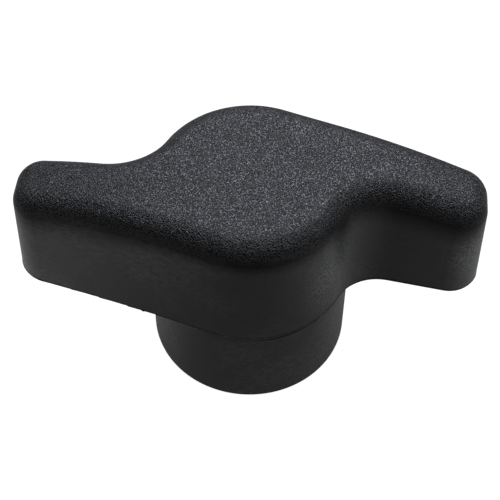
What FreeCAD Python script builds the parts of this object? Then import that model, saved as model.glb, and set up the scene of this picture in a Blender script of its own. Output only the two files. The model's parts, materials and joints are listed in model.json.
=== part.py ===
"""Wing nut with an S-shaped plastic handle and a moulded-in M8 bush.

Frame: millimetres, +Z up. The origin is on the thread axis at the clamping
face, and the wings reach along X. Two sub-parts: wing_handle, threaded_insert.
"""
import FreeCAD, Part
import math
import os
import Sketcher

Vector = FreeCAD.Vector

# Driving dimensions: alias, value, what it is.
DIMENSIONS = [
    ("span", 63.0, "tip to tip along X"),
    ("height", 33.65, "clamping face to the flat of the crown"),
    ("underside", 14.85, "clamping face to the underside of the wings"),
    ("centre_radius", 14.1, "round centre of the plan, at the underside"),
    ("flank_taper", 9.0, "degrees of the outer flank where it leaves the centre"),
    ("flank_hollow", 400.0, "slight hollow of the outer flank"),
    ("tip_lean", 7.5, "degrees the tip face leans from square"),
    ("waist_radius", 6.4, "hollow where a wing leaves the centre"),
    ("inner_corner", 4.2, "plan corner between inner flank and tip"),
    ("outer_corner", 4.6, "plan corner between outer flank and tip"),
    ("draft_angle", 2.6, "degrees the sides lean in, going up"),
    ("crown_flat", 8.0, "half length of the level part of the crown"),
    ("crown_radius", 82.0, "arc from the level part down to a tip"),
    ("top_edge", 3.2, "rounding round the top"),
    ("rim_edge", 0.7, "rounding round the lower rim of the wings"),
    ("collar_radius", 14.05, "foot of the collar under the wings"),
    ("collar_draft", 0.6, "degrees the collar narrows, going up"),
    ("collar_edge", 0.45, "rounding round the foot of the collar"),
    ("proud", 0.3, "the bush stands out of the plastic by this"),
    ("wall", 2.6, "plastic wall beside the cores"),
    ("rib", 1.8, "ribs between the cores"),
    ("rib_place", 20.5, "cross rib of a wing, from the axis"),
    ("core_taper", 7.0, "degrees between the long walls of a wing core"),
    ("sleeve_radius", 8.2, "plastic sleeve that holds the bush"),
    ("hub_cells", 6.0, "number of cores round the sleeve"),
    ("hub_core_top", 28.0, "roof of the cores round the sleeve"),
    ("wing_core_top", 27.4, "roof of the cores in the wings"),
    ("cell_corner", 0.8, "rounding of the upright corners of a core"),
    ("bush_radius", 6.0, "outside of the bush"),
    ("bush_length", 20.0, "length of the bush"),
    ("bush_chamfer", 0.4, "chamfer at both ends of the bush"),
    ("bush_plain", 2.0, "plain length of the bush below its knurl"),
    ("neck_depth", 0.8, "depth of the retaining neck of the bush"),
    ("neck_width", 3.2, "width of the retaining neck at the surface"),
    ("knurl_count", 30.0, "straight grooves of the knurl"),
    ("knurl_depth", 0.4, "depth of a groove of the knurl"),
    ("bore_radius", 3.4, "M8 core hole, the tapping drill's radius"),
    ("bore_depth", 17.0, "full-size depth of the core hole"),
    ("drill_point", 2.0, "length of the cone at the end of the hole"),
    ("lead_in", 0.9, "depth of the 45 degree lead-in of the hole"),
]
MARGIN = 1.0                       # how far a cutting tool runs past a surface
HALF_TURN = 180.0
FULL_TURN = 360.0
ORIGIN = Vector(0, 0, 0)
START, END, CENTRE = 1, 2, 3       # point numbers of a sketch edge
ROOT, X_AXIS = -1, -1              # the sketch's own origin and its X axis
HALF_EDGES = 7                     # edges in each half of the plan
SAME_HEIGHT = 1e-4                 # mm: heights closer than this are equal
TALL = 5.0                         # mm: an upright core corner is taller
SLANT = 1.0                        # mm: and leans less than this
FLAT_ON = 0.9                      # z of the normal of an up or down face
SIDEWAYS = 0.5                     # z of the normal of a side face is below

doc = FreeCAD.newDocument("wing_nut")
sheet = doc.addObject("Spreadsheet::Sheet", "nut")


def fill_sheet():
    """Write the driving dimensions into the sheet, one per row."""
    for row, (alias, number, meaning) in enumerate(DIMENSIONS, start=1):
        sheet.set("A%d" % row, meaning)
        sheet.set("B%d" % row, str(number))
        sheet.setAlias("B%d" % row, alias)
    doc.recompute()


def size(alias):
    """The number in the cell with this alias."""
    return float(sheet.get(alias))


def polar(radius, degrees):
    """A point of the plan at this radius and angle."""
    angle = math.radians(degrees)
    return Vector(radius * math.cos(angle), radius * math.sin(angle), 0)


def new_body(name):
    """An empty PartDesign body."""
    return doc.addObject("PartDesign::Body", name)


def origin_feature(body, role):
    """The origin plane or axis of the body with this role."""
    return [f for f in body.Origin.OriginFeatures if f.Role == role][0]


def new_sketch(body, name, role, raise_by=None):
    """A sketch on an origin plane, raised by a sheet expression."""
    sketch = body.newObject("Sketcher::SketchObject", name)
    sketch.AttachmentSupport = [(origin_feature(body, role), "")]
    sketch.MapMode = "FlatFace"
    if raise_by:
        sketch.setExpression("AttachmentOffset.Base.z", raise_by)
    return sketch


def add_line(sketch, start, end):
    """Draw a straight edge and return its number."""
    return sketch.addGeometry(Part.LineSegment(start, end), False)


def add_arc(sketch, centre, radius, first, last):
    """Draw an anticlockwise arc between two angles in degrees."""
    circle = Part.Circle(centre, Vector(0, 0, 1), radius)
    arc = Part.ArcOfCircle(circle, math.radians(first), math.radians(last))
    return sketch.addGeometry(arc, False)


def add_circle(sketch, radius):
    """Draw a circle round the sketch's origin."""
    circle = Part.Circle(ORIGIN, Vector(0, 0, 1), radius)
    edge = sketch.addGeometry(circle, False)
    rule(sketch, "Coincident", edge, CENTRE, ROOT, START)
    return edge


def rule(sketch, *what):
    """Add a geometric constraint."""
    return sketch.addConstraint(Sketcher.Constraint(*what))


def bind(sketch, name, expression, *what):
    """Add a dimension and bind it to the sheet."""
    number = sketch.addConstraint(Sketcher.Constraint(*what))
    sketch.renameConstraint(number, name)
    sketch.setExpression("Constraints." + name, expression)
    return number


def add_feature(body, kind, name, profile=None, **bound):
    """Add a PartDesign feature, with its sizes bound to the sheet."""
    feature = body.newObject("PartDesign::" + kind, name)
    if profile:
        feature.Profile = profile
    for key, expression in bound.items():
        feature.setExpression(key, expression)
    doc.recompute()
    return feature


def volume_of(feature):
    """Volume of the body up to this feature."""
    return feature.Shape.Volume


def must_shrink(before, after):
    """Stop if a cut took nothing away."""
    lost = volume_of(before) - volume_of(after)
    if lost <= 0:
        raise RuntimeError("%s cuts nothing" % after.Name)
    print("%-18s takes away %9.2f mm3" % (after.Name, lost))


def edge_names(shape, wanted):
    """Names of the edges for which wanted(edge) is true."""
    edges = enumerate(shape.Edges, start=1)
    return ["Edge%d" % number for number, edge in edges if wanted(edge)]


def outer_edges(shape, wanted_face):
    """Names of the edges round the faces for which wanted_face is true."""
    rings = [e for f in shape.Faces if wanted_face(f) for e in f.Edges]

    def used_once(edge):
        return sum(1 for other in rings if other.isSame(edge)) == 1

    return edge_names(shape, used_once)


def face_direction(face):
    """Outward normal at the middle of a face."""
    first_u, last_u, first_v, last_v = face.ParameterRange
    return face.normalAt((first_u + last_u) / 2, (first_v + last_v) / 2)


def is_level(edge, z):
    """True for an edge that lies at height z."""
    box = edge.BoundBox
    return abs(box.ZMin - z) < SAME_HEIGHT and abs(box.ZMax - z) < SAME_HEIGHT


def is_upright(edge, reach):
    """True for a straight, almost vertical edge inside this radius."""
    box = edge.BoundBox
    tall = box.ZLength > TALL and math.hypot(box.XLength, box.YLength) < SLANT
    return tall and math.hypot(box.Center.x, box.Center.y) < reach


# ---------------------------------------------------------------- the handle


def wing_outline(body):
    """Plan of both wings and the centre, at the underside of the wings.

    Each half is seven tangent edges. The inner flanks lie on the X axis, the
    hollow outer flanks touch the centre circle, and the tips touch the span.
    """
    sketch = new_sketch(body, "plan", "XY_Plane", "nut.underside")
    for half in range(2):
        draw_half_plan(sketch, half)
    for half in range(2):
        constrain_half_plan(sketch, HALF_EDGES * half)
    bind(sketch, "centre", "nut.centre_radius", "Radius", 0, size("centre_radius"))
    bind(sketch, "waist", "nut.waist_radius", "Radius", 1, size("waist_radius"))
    bind(sketch, "inner", "nut.inner_corner", "Radius", 3, size("inner_corner"))
    bind(sketch, "outer", "nut.outer_corner", "Radius", 5, size("outer_corner"))
    lean = 90 + size("tip_lean")
    bind(sketch, "lean", "90 + nut.tip_lean", "Angle", 4, math.radians(lean))
    bind(sketch, "hollow", "nut.flank_hollow", "Radius", 6, size("flank_hollow"))
    touch = polar(size("centre_radius"), 90 - size("flank_taper")).x
    touch_rule = "nut.centre_radius * sin(nut.flank_taper * 1 deg)"
    bind(sketch, "touch", touch_rule, "DistanceX", ROOT, START, HALF_EDGES, START, touch)
    bind(sketch, "touch_back", touch_rule, "DistanceX", 0, START, ROOT, START, touch)
    reach = size("span") / 2 - size("inner_corner")
    reach_rule = "nut.span / 2 - nut.inner_corner"
    bind(sketch, "reach", reach_rule, "DistanceX", ROOT, START, 3, CENTRE, reach)
    bind(sketch, "reach_back", reach_rule, "DistanceX", 3 + HALF_EDGES, CENTRE, ROOT, START,
         reach)
    for edge in (0, 1, 3, 5, 6):
        rule(sketch, "Equal", edge, edge + HALF_EDGES)
    rule(sketch, "Parallel", 4, 4 + HALF_EDGES)
    return sketch


def draw_half_plan(sketch, half):
    """Draw the seven edges of one wing; half 1 is half 0 turned round."""
    turn = HALF_TURN * half
    sign = 1 - 2 * half
    centre_r = size("centre_radius")
    waist_r = size("waist_radius")
    inner_r = size("inner_corner")
    outer_r = size("outer_corner")
    hollow_r = size("flank_hollow")
    flank = 90 - size("flank_taper")
    lean = size("tip_lean")

    waist_x = math.sqrt((centre_r + waist_r) ** 2 - waist_r ** 2)
    waist_angle = math.degrees(math.atan2(waist_r, waist_x))
    waist_c = Vector(waist_x, -waist_r, 0)
    inner_c = Vector(size("span") / 2 - inner_r, inner_r, 0)
    hollow_c = polar(centre_r + hollow_r, flank)
    outer_c = corner_centre(inner_c, hollow_c)
    toward = hollow_c - outer_c
    corner_end = math.degrees(math.atan2(toward.y, toward.x))

    add_arc(sketch, ORIGIN, centre_r, turn + flank - HALF_TURN, turn - waist_angle)
    add_arc(sketch, waist_c * sign, waist_r, turn + 90, turn + HALF_TURN - waist_angle)
    add_line(sketch, Vector(waist_x, 0, 0) * sign, Vector(inner_c.x, 0, 0) * sign)
    add_arc(sketch, inner_c * sign, inner_r, turn - 90, turn + lean)
    tip_low = inner_c + polar(inner_r, lean)
    tip_high = outer_c + polar(outer_r, lean)
    add_line(sketch, tip_low * sign, tip_high * sign)
    add_arc(sketch, outer_c * sign, outer_r, turn + lean, turn + corner_end)
    facing = turn + HALF_TURN
    add_arc(sketch, hollow_c * sign, hollow_r, facing + flank, facing + corner_end)


def corner_centre(inner_c, hollow_c):
    """Centre of the outer tip corner, which touches tip and outer flank."""
    outer_r = size("outer_corner")
    across = polar(1, size("tip_lean"))
    along = polar(1, 90 + size("tip_lean"))
    foot = across * (inner_c.dot(across) + size("inner_corner") - outer_r)
    reach = size("flank_hollow") + outer_r
    ahead = along.dot(hollow_c)
    gap = (foot - hollow_c).Length ** 2 - reach ** 2
    return foot + along * (ahead - math.sqrt(ahead ** 2 - gap))


def constrain_half_plan(sketch, first):
    """Join the seven edges of one wing with tangent joints."""
    following = (first + HALF_EDGES) % (2 * HALF_EDGES)
    joints = [
        (first, END, first + 1, END),
        (first + 1, START, first + 2, START),
        (first + 2, END, first + 3, START),
        (first + 3, END, first + 4, START),
        (first + 4, END, first + 5, START),
        (first + 5, END, first + 6, END),
        (first + 6, START, following, START),
    ]
    for joint in joints:
        rule(sketch, "Tangent", *joint)
    rule(sketch, "Coincident", first, CENTRE, ROOT, START)
    rule(sketch, "PointOnObject", first + 2, START, X_AXIS)
    rule(sketch, "PointOnObject", first + 2, END, X_AXIS)


def crown_sketch(body):
    """Outline of what is cut off above the crown, seen from the side."""
    sketch = new_sketch(body, "crown_side", "XZ_Plane")
    top = size("height")
    flat = size("crown_flat")
    radius = size("crown_radius")
    reach = size("span") / 2 + MARGIN
    low = top - radius + math.sqrt(radius ** 2 - (reach - flat) ** 2)
    end = math.degrees(math.acos((reach - flat) / radius))

    add_line(sketch, Vector(-flat, top, 0), Vector(flat, top, 0))
    add_arc(sketch, Vector(flat, top - radius, 0), radius, end, 90)
    add_line(sketch, Vector(reach, low, 0), Vector(reach, top + MARGIN, 0))
    add_line(sketch, Vector(reach, top + MARGIN, 0), Vector(-reach, top + MARGIN, 0))
    add_line(sketch, Vector(-reach, top + MARGIN, 0), Vector(-reach, low, 0))
    add_arc(sketch, Vector(-flat, top - radius, 0), radius, 90, HALF_TURN - end)

    rule(sketch, "Tangent", 0, END, 1, END)
    rule(sketch, "Tangent", 0, START, 5, START)
    rule(sketch, "Coincident", 1, START, 2, START)
    rule(sketch, "Coincident", 2, END, 3, START)
    rule(sketch, "Coincident", 3, END, 4, START)
    rule(sketch, "Coincident", 4, END, 5, END)
    for edge in (0, 3):
        rule(sketch, "Horizontal", edge)
    for edge in (2, 4):
        rule(sketch, "Vertical", edge)
    rule(sketch, "Equal", 1, 5)
    bind(sketch, "bend", "nut.crown_radius", "Radius", 1, radius)
    bind(sketch, "top", "nut.height", "DistanceY", ROOT, START, 0, END, top)
    bind(sketch, "flat", "nut.crown_flat", "DistanceX", ROOT, START, 0, END, flat)
    bind(sketch, "flat_back", "nut.crown_flat", "DistanceX", 0, START, ROOT, START, flat)
    reach_rule = "nut.span / 2 + %g" % MARGIN
    bind(sketch, "reach", reach_rule, "DistanceX", ROOT, START, 3, START, reach)
    bind(sketch, "reach_back", reach_rule, "DistanceX", 3, END, ROOT, START, reach)
    roof_rule = "nut.height + %g" % MARGIN
    bind(sketch, "roof", roof_rule, "DistanceY", ROOT, START, 3, START, top + MARGIN)
    return sketch


def draft_sides(body, pad):
    """Lean the sides in, from the underside upwards."""
    sides = [
        "Face%d" % number
        for number, face in enumerate(pad.Shape.Faces, start=1)
        if abs(face_direction(face).z) < SIDEWAYS
    ]
    draft = body.newObject("PartDesign::Draft", "sides")
    draft.Base = (pad, sides)
    draft.NeutralPlane = (pad, [bottom_face(pad.Shape)])
    draft.Reversed = False
    draft.setExpression("Angle", "nut.draft_angle")
    doc.recompute()
    return draft


def bottom_face(shape):
    """Name of the face that looks straight down."""
    for number, face in enumerate(shape.Faces, start=1):
        if face_direction(face).z < -FLAT_ON:
            return "Face%d" % number
    raise RuntimeError("no bottom face")


def round_edges(body, base, name, edges, alias):
    """Round the named edges of the last feature."""
    fillet = body.newObject("PartDesign::Fillet", name)
    fillet.Base = (base, edges)
    fillet.setExpression("Radius", "nut." + alias)
    doc.recompute()
    print("%-18s rounds %d edges" % (name, len(edges)))
    return fillet


def make_wings(body):
    """The solid wings and centre, before anything is cored out."""
    pad = add_feature(body, "Pad", "wings", wing_outline(body),
                      Length="nut.height - nut.underside")
    draft = draft_sides(body, pad)
    must_shrink(pad, draft)
    crown = body.newObject("PartDesign::Pocket", "crown")
    crown.Profile = crown_sketch(body)
    crown.SideType = "Symmetric"
    crown.setExpression("Length", "nut.span")
    doc.recompute()
    must_shrink(draft, crown)
    top = outer_edges(crown.Shape, lambda face: face_direction(face).z > FLAT_ON)
    rounded = round_edges(body, crown, "top_rounding", top, "top_edge")
    rim = outer_edges(rounded.Shape, lambda face: face_direction(face).z < -FLAT_ON)
    return round_edges(body, rounded, "rim_rounding", rim, "rim_edge")


def make_collar(body):
    """The round collar, run a little way up into the centre."""
    sketch = new_sketch(body, "collar_plan", "XY_Plane", "nut.proud")
    edge = add_circle(sketch, size("collar_radius"))
    bind(sketch, "collar", "nut.collar_radius", "Radius", edge, size("collar_radius"))
    collar = add_feature(body, "Pad", "collar", sketch,
                         Length="nut.underside - nut.proud + 2 * nut.rim_edge",
                         TaperAngle="-nut.collar_draft")
    foot = edge_names(collar.Shape, lambda e: is_level(e, size("proud")))
    return round_edges(body, collar, "collar_rounding", foot, "collar_edge")


def hub_cell_sketch(body):
    """One core between two ribs, round the sleeve of the bush."""
    sketch = new_sketch(body, "hub_cell_plan", "XY_Plane", "nut.proud")
    inner = size("sleeve_radius")
    outer = size("collar_radius") - size("wall")
    half_rib = size("rib") / 2
    step = FULL_TURN / size("hub_cells")
    inner_lift = math.degrees(math.asin(half_rib / inner))
    outer_lift = math.degrees(math.asin(half_rib / outer))

    add_arc(sketch, ORIGIN, inner, inner_lift, step - inner_lift)
    add_arc(sketch, ORIGIN, outer, outer_lift, step - outer_lift)
    add_line(sketch, polar(inner, inner_lift), polar(outer, outer_lift))
    add_line(sketch, polar(inner, step - inner_lift), polar(outer, step - outer_lift))

    rule(sketch, "Coincident", 0, CENTRE, ROOT, START)
    rule(sketch, "Coincident", 1, CENTRE, ROOT, START)
    rule(sketch, "Coincident", 2, START, 0, START)
    rule(sketch, "Coincident", 2, END, 1, START)
    rule(sketch, "Coincident", 3, START, 0, END)
    rule(sketch, "Coincident", 3, END, 1, END)
    rule(sketch, "Horizontal", 2)
    bind(sketch, "sleeve", "nut.sleeve_radius", "Radius", 0, inner)
    bind(sketch, "shell", "nut.collar_radius - nut.wall", "Radius", 1, outer)
    bind(sketch, "step", "360 / nut.hub_cells", "Angle", 3, math.radians(step))
    bind(sketch, "rib", "nut.rib / 2", "Distance", ROOT, START, 2, half_rib)
    bind(sketch, "rib_far", "nut.rib / 2", "Distance", ROOT, START, 3, half_rib)
    return sketch


def tip_wall_reach():
    """Distance of the inside of the tip wall from the axis, and its rule."""
    lean = math.radians(size("tip_lean"))
    corner = size("inner_corner")
    along = size("span") / 2 - corner
    number = along * math.cos(lean) + corner * math.sin(lean) + corner - size("wall")
    text = ("(nut.span / 2 - nut.inner_corner) * cos(nut.tip_lean * 1 deg)"
            " + nut.inner_corner * sin(nut.tip_lean * 1 deg)"
            " + nut.inner_corner - nut.wall")
    return number, text


def meet(first_angle, first_reach, second_angle, second_reach):
    """Where two lines cross, each given by its normal and distance."""
    one = polar(1, first_angle)
    two = polar(1, second_angle)
    base = one.x * two.y - one.y * two.x
    x = (first_reach * two.y - second_reach * one.y) / base
    y = (second_reach * one.x - first_reach * two.x) / base
    return Vector(x, y, 0)


def wing_cells_sketch(body):
    """The two cores of one wing, with the cross rib between them."""
    sketch = new_sketch(body, "wing_cells_plan", "XY_Plane", "nut.underside")
    wall = size("wall")
    flank = 90 - size("core_taper")
    side = size("centre_radius") - wall
    near = size("rib_place") - size("rib") / 2
    far = size("rib_place") + size("rib") / 2
    tip, tip_rule = tip_wall_reach()
    round_r = size("centre_radius")
    low_angle = math.degrees(math.asin(wall / round_r))
    high_angle = flank - math.degrees(math.acos(side / round_r))

    low_near = Vector(near, wall, 0)
    low_far = Vector(far, wall, 0)
    high_near = meet(0, near, flank, side)
    high_far = meet(0, far, flank, side)
    tip_low = meet(90, wall, size("tip_lean"), tip)
    tip_high = meet(size("tip_lean"), tip, flank, side)

    # edges 0 to 3 are the core beside the centre, 4 to 7 the one at the tip
    add_arc(sketch, ORIGIN, round_r, low_angle, high_angle)
    add_line(sketch, polar(round_r, low_angle), low_near)
    add_line(sketch, low_near, high_near)
    add_line(sketch, high_near, polar(round_r, high_angle))
    add_line(sketch, low_far, tip_low)
    add_line(sketch, tip_low, tip_high)
    add_line(sketch, tip_high, high_far)
    add_line(sketch, high_far, low_far)

    rule(sketch, "Coincident", 0, CENTRE, ROOT, START)
    rule(sketch, "Coincident", 0, START, 1, START)
    rule(sketch, "Coincident", 1, END, 2, START)
    rule(sketch, "Coincident", 2, END, 3, START)
    rule(sketch, "Coincident", 3, END, 0, END)
    for edge in (4, 5, 6):
        rule(sketch, "Coincident", edge, END, edge + 1, START)
    rule(sketch, "Coincident", 7, END, 4, START)
    for edge in (1, 4):
        rule(sketch, "Horizontal", edge)
    for edge in (2, 7):
        rule(sketch, "Vertical", edge)
    rule(sketch, "Parallel", 3, 6)

    bind(sketch, "round", "nut.centre_radius", "Radius", 0, round_r)
    bind(sketch, "wall", "nut.wall", "DistanceY", ROOT, START, 1, END, wall)
    bind(sketch, "wall_tip", "nut.wall", "DistanceY", ROOT, START, 4, START, wall)
    near_rule = "nut.rib_place - nut.rib / 2"
    far_rule = "nut.rib_place + nut.rib / 2"
    bind(sketch, "near", near_rule, "DistanceX", ROOT, START, 2, START, near)
    bind(sketch, "far", far_rule, "DistanceX", ROOT, START, 4, START, far)
    taper = math.radians(HALF_TURN - size("core_taper"))
    bind(sketch, "taper", "180 - nut.core_taper", "Angle", 3, taper)
    lean = math.radians(90 + size("tip_lean"))
    bind(sketch, "lean", "90 + nut.tip_lean", "Angle", 5, lean)
    side_rule = "nut.centre_radius - nut.wall"
    bind(sketch, "side", side_rule, "Distance", ROOT, START, 3, side)
    bind(sketch, "side_tip", side_rule, "Distance", ROOT, START, 6, side)
    bind(sketch, "tip", tip_rule, "Distance", ROOT, START, 5, tip)
    return sketch


def cut_cells(body, base, name, sketch, length, count):
    """Cut a sketch upwards and repeat it round the axis."""
    cell = add_feature(body, "Pocket", name, sketch, Length=length)
    cell.Reversed = True
    doc.recompute()
    must_shrink(base, cell)
    pattern = body.newObject("PartDesign::PolarPattern", name + "_round")
    pattern.Originals = [cell]
    pattern.Axis = (origin_feature(body, "Z_Axis"), [""])
    pattern.Angle = FULL_TURN
    pattern.setExpression("Occurrences", count)
    body.Tip = pattern
    doc.recompute()
    must_shrink(cell, pattern)
    return pattern


def make_cores(body, base):
    """Core out the collar and the wings from below."""
    hub = cut_cells(body, base, "hub_cell", hub_cell_sketch(body),
                    "nut.hub_core_top - nut.proud", "nut.hub_cells")
    wing = cut_cells(body, hub, "wing_cells", wing_cells_sketch(body),
                     "nut.wing_core_top - nut.underside", "2")
    reach = size("span") / 2 - size("wall") / 2
    corners = edge_names(wing.Shape, lambda e: is_core_corner(e, reach))
    return round_edges(body, wing, "core_corners", corners, "cell_corner")


def is_core_corner(edge, reach):
    """True for an upright corner of a core, which ends at a core's roof."""
    roofs = (size("hub_core_top"), size("wing_core_top"))
    at_roof = any(abs(edge.BoundBox.ZMax - roof) < SAME_HEIGHT for roof in roofs)
    return at_roof and is_upright(edge, reach)


def make_handle_body():
    """The whole moulding, still without room for the bush."""
    body = new_body("moulding")
    make_wings(body)
    collar = make_collar(body)
    make_cores(body, collar)
    return body


# ------------------------------------------------------------------ the bush


def make_bush_body():
    """The turned and knurled bush, before it is drilled."""
    body = new_body("bush_blank")
    sketch = new_sketch(body, "bush_plan", "XY_Plane")
    edge = add_circle(sketch, size("bush_radius"))
    bind(sketch, "bush", "nut.bush_radius", "Radius", edge, size("bush_radius"))
    bar = add_feature(body, "Pad", "bar", sketch, Length="nut.bush_length")
    chamfer = body.newObject("PartDesign::Chamfer", "ends")
    rings = edge_names(bar.Shape, lambda e: e.BoundBox.ZLength < SAME_HEIGHT)
    chamfer.Base = (bar, rings)
    chamfer.setExpression("Size", "nut.bush_chamfer")
    doc.recompute()
    neck = cut_neck(body, chamfer)
    cut_knurl(body, neck)
    return body


def cut_neck(body, base):
    """The neck that stops the bush from being pulled out."""
    sketch = new_sketch(body, "neck_side", "XZ_Plane")
    floor = size("bush_radius") - size("neck_depth")
    lip = size("bush_radius") + MARGIN
    middle = size("bush_length") / 2
    spread = size("neck_width") / 2 + MARGIN
    narrow = size("neck_width") / 2 - size("neck_depth")

    corners = [
        Vector(floor, middle - narrow, 0),
        Vector(lip, middle - spread, 0),
        Vector(lip, middle + spread, 0),
        Vector(floor, middle + narrow, 0),
    ]
    for number in range(4):
        add_line(sketch, corners[number], corners[(number + 1) % 4])
    for number in range(4):
        rule(sketch, "Coincident", number, END, (number + 1) % 4, START)
    rule(sketch, "Vertical", 1)
    rule(sketch, "Vertical", 3)
    floor_rule = "nut.bush_radius - nut.neck_depth"
    lip_rule = "nut.bush_radius + %g" % MARGIN
    bind(sketch, "floor", floor_rule, "DistanceX", ROOT, START, 0, START, floor)
    bind(sketch, "lip", lip_rule, "DistanceX", ROOT, START, 1, START, lip)
    rows = [
        ("low_floor", 0, "nut.bush_length / 2 - nut.neck_width / 2 + nut.neck_depth"),
        ("low_lip", 1, "nut.bush_length / 2 - nut.neck_width / 2 - %g" % MARGIN),
        ("high_lip", 2, "nut.bush_length / 2 + nut.neck_width / 2 + %g" % MARGIN),
        ("high_floor", 3, "nut.bush_length / 2 + nut.neck_width / 2 - nut.neck_depth"),
    ]
    for name, line, text in rows:
        bind(sketch, name, text, "DistanceY", ROOT, START, line, START, corners[line].y)
    neck = body.newObject("PartDesign::Groove", "neck")
    neck.Profile = sketch
    neck.ReferenceAxis = (sketch, ["V_Axis"])
    neck.Angle = FULL_TURN
    doc.recompute()
    must_shrink(base, neck)
    return neck


def cut_knurl(body, base):
    """Straight grooves that stop the bush from turning in the plastic."""
    sketch = new_sketch(body, "knurl_plan", "XY_Plane", "nut.bush_plain")
    root = size("bush_radius") - size("knurl_depth")
    lip = size("bush_radius") + MARGIN
    half = size("knurl_depth") + MARGIN
    corners = [Vector(root, 0, 0), Vector(lip, -half, 0), Vector(lip, half, 0)]
    for number in range(3):
        add_line(sketch, corners[number], corners[(number + 1) % 3])
    for number in range(3):
        rule(sketch, "Coincident", number, END, (number + 1) % 3, START)
    rule(sketch, "PointOnObject", 0, START, X_AXIS)
    rule(sketch, "Vertical", 1)
    root_rule = "nut.bush_radius - nut.knurl_depth"
    lip_rule = "nut.bush_radius + %g" % MARGIN
    half_rule = "nut.knurl_depth + %g" % MARGIN
    bind(sketch, "root", root_rule, "DistanceX", ROOT, START, 0, START, root)
    bind(sketch, "lip", lip_rule, "DistanceX", ROOT, START, 1, START, lip)
    bind(sketch, "left", half_rule, "DistanceY", ROOT, START, 2, START, half)
    bind(sketch, "right", half_rule, "DistanceY", 1, START, ROOT, START, half)
    return cut_cells(body, base, "knurl", sketch, "nut.bush_length", "nut.knurl_count")


def make_bore():
    """What the drill and the countersink take out of the bush."""
    hole = doc.addObject("Part::Cylinder", "hole")
    hole.setExpression("Radius", "nut.bore_radius")
    hole.setExpression("Height", "nut.bore_depth + %g" % MARGIN)
    hole.Placement.Base.z = -MARGIN
    point = doc.addObject("Part::Cone", "point")
    point.setExpression("Radius1", "nut.bore_radius")
    point.Radius2 = 0
    point.setExpression("Height", "nut.drill_point")
    point.setExpression("Placement.Base.z", "nut.bore_depth")
    lead = doc.addObject("Part::Cone", "lead_in_cone")
    lead.setExpression("Radius1", "nut.bore_radius + nut.lead_in + %g" % MARGIN)
    lead.setExpression("Radius2", "nut.bore_radius")
    lead.setExpression("Height", "nut.lead_in + %g" % MARGIN)
    lead.Placement.Base.z = -MARGIN
    bore = doc.addObject("Part::MultiFuse", "bore")
    bore.Shapes = [hole, point, lead]
    return bore


def cut_from(base, tool, label):
    """A sub-part: base without tool, placed in the part's own frame."""
    cut = doc.addObject("Part::Cut", label)
    cut.Base = base
    cut.Tool = tool
    cut.Label = label
    cut.Placement = FreeCAD.Placement(ORIGIN, FreeCAD.Rotation())
    return cut


# ------------------------------------------------------- checks and hand-over


def check_document(sub_parts):
    """Stop if any object failed or any sub-part isn't one valid solid."""
    for item in doc.Objects:
        bad = [word for word in ("Invalid", "Error") if word in item.State]
        if bad:
            raise RuntimeError("%s is %s" % (item.Name, bad))
    for item in sub_parts:
        shape = item.Shape
        if shape.isNull() or not shape.isValid():
            raise RuntimeError("%s has no valid shape" % item.Label)
        if len(shape.Solids) != 1:
            raise RuntimeError("%s isn't one solid" % item.Label)


def describe(item):
    """Print the size of a sub-part."""
    box = item.Shape.optimalBoundingBox(False)
    spans = (box.XLength, box.YLength, box.ZLength)
    print("%-16s %.3f x %.3f x %.3f mm" % ((item.Label,) + spans))
    print("%-16s z %.3f to %.3f, %.1f mm3, %d faces" % (
        "", box.ZMin, box.ZMax, item.Shape.Volume, len(item.Shape.Faces)))


def write_parts(sub_parts):
    """Write one STEP file for each sub-part, named after its label."""
    os.makedirs("parts", exist_ok=True)
    for item in sub_parts:
        item.Shape.exportStep("parts/%s.step" % item.Label)


def main():
    fill_sheet()
    moulding = make_handle_body()
    blank = make_bush_body()
    handle = cut_from(moulding, blank, "wing_handle")
    insert = cut_from(blank, make_bore(), "threaded_insert")
    doc.recompute()
    sub_parts = [handle, insert]
    check_document(sub_parts)
    for item in sub_parts:
        describe(item)
    write_parts(sub_parts)


main()
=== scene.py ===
# %% [markdown]
# # A moulded wing nut, finished in Blender
# The nut has two pieces: a black plastic handle and a brass bush with an M8
# thread. The CAD model already holds the true shape of the handle, so Blender
# keeps that mesh and gives it the skin of a real moulding. The bush is rebuilt
# here, because its thread is only a plain hole in the CAD model.

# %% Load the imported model
import json
import math

import bmesh
import bpy
from mathutils import Matrix, Vector, noise as noise_3d


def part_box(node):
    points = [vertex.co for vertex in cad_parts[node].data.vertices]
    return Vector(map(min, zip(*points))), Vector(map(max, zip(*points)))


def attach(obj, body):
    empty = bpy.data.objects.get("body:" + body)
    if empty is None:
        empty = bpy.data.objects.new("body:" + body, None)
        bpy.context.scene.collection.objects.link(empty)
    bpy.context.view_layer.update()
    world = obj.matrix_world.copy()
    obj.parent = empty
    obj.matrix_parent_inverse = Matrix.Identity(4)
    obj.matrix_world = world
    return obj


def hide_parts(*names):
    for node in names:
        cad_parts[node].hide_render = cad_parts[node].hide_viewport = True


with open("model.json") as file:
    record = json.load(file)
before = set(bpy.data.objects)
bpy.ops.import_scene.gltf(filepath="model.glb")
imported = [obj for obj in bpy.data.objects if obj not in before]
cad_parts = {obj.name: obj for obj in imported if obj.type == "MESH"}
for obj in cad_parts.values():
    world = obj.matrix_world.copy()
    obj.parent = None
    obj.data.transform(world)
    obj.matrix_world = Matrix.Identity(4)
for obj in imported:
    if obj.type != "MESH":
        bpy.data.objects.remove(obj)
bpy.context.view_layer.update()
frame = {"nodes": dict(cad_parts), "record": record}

handle = frame["nodes"]["wing_handle"]
MM = 0.001

# %% [markdown]
# ## Sizes read from the model
# Places come from the boxes of the CAD nodes and from the mounts in the
# record, so the script follows the CAD model if that changes.

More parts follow.
